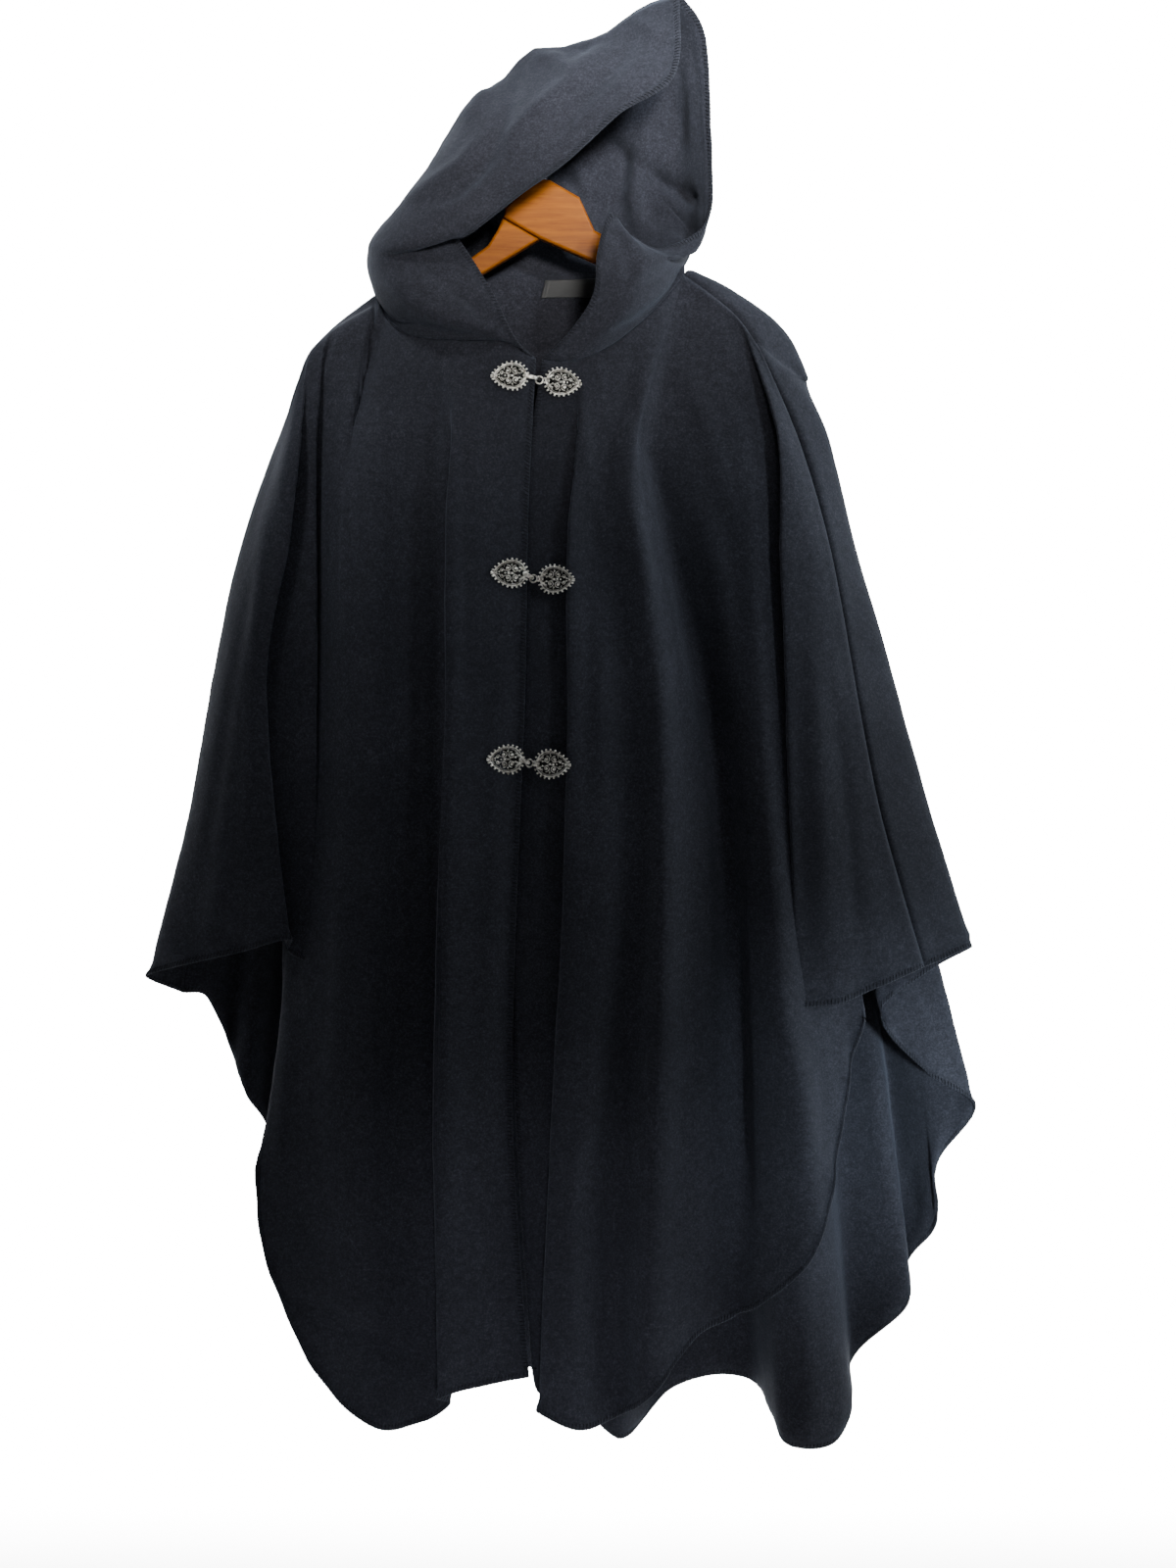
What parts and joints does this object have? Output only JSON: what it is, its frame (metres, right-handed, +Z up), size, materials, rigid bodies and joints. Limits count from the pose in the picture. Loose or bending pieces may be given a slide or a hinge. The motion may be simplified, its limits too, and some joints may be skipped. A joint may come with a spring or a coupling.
{
  "type": "hooded wool cloak on a wooden hanger",
  "caption": "Wrap cloak of thick dark wool with a deep hood, curved hem and wide open sleeves, closed by leaf-shaped metal clasps, hung on a wooden coat hanger with a wire hook",
  "frame": {"origin": "the inside top of the hanger's hook, where a rail holds it", "axes": "+Z up, -Y the front of the cloak, +X the image right, which is the wearer's left"},
  "size_m": [0.7653, 0.1842, 1.3376],
  "materials": {
    "wool": "dark navy, nearly black, thick napped wool",
    "label": "blank dark grey woven label",
    "silver": "antique silver colour with darker recesses",
    "wood": "pale varnished wood",
    "hook_wire": "bright plated wire"
  },
  "bodies": {
    "root": {"front_right": "wool", "front_left": "wool", "back": "wool", "hood_right": "wool", "hood_left": "wool", "neck_label": "label", "hook_top": "silver", "hook_middle": "silver", "hook_bottom": "silver", "eye_top": "silver", "eye_middle": "silver", "eye_bottom": "silver", "hanger_arm_left": "wood", "hanger_arm_right": "wood", "hanger_hook": "hook_wire"}
  },
  "joints": []
}
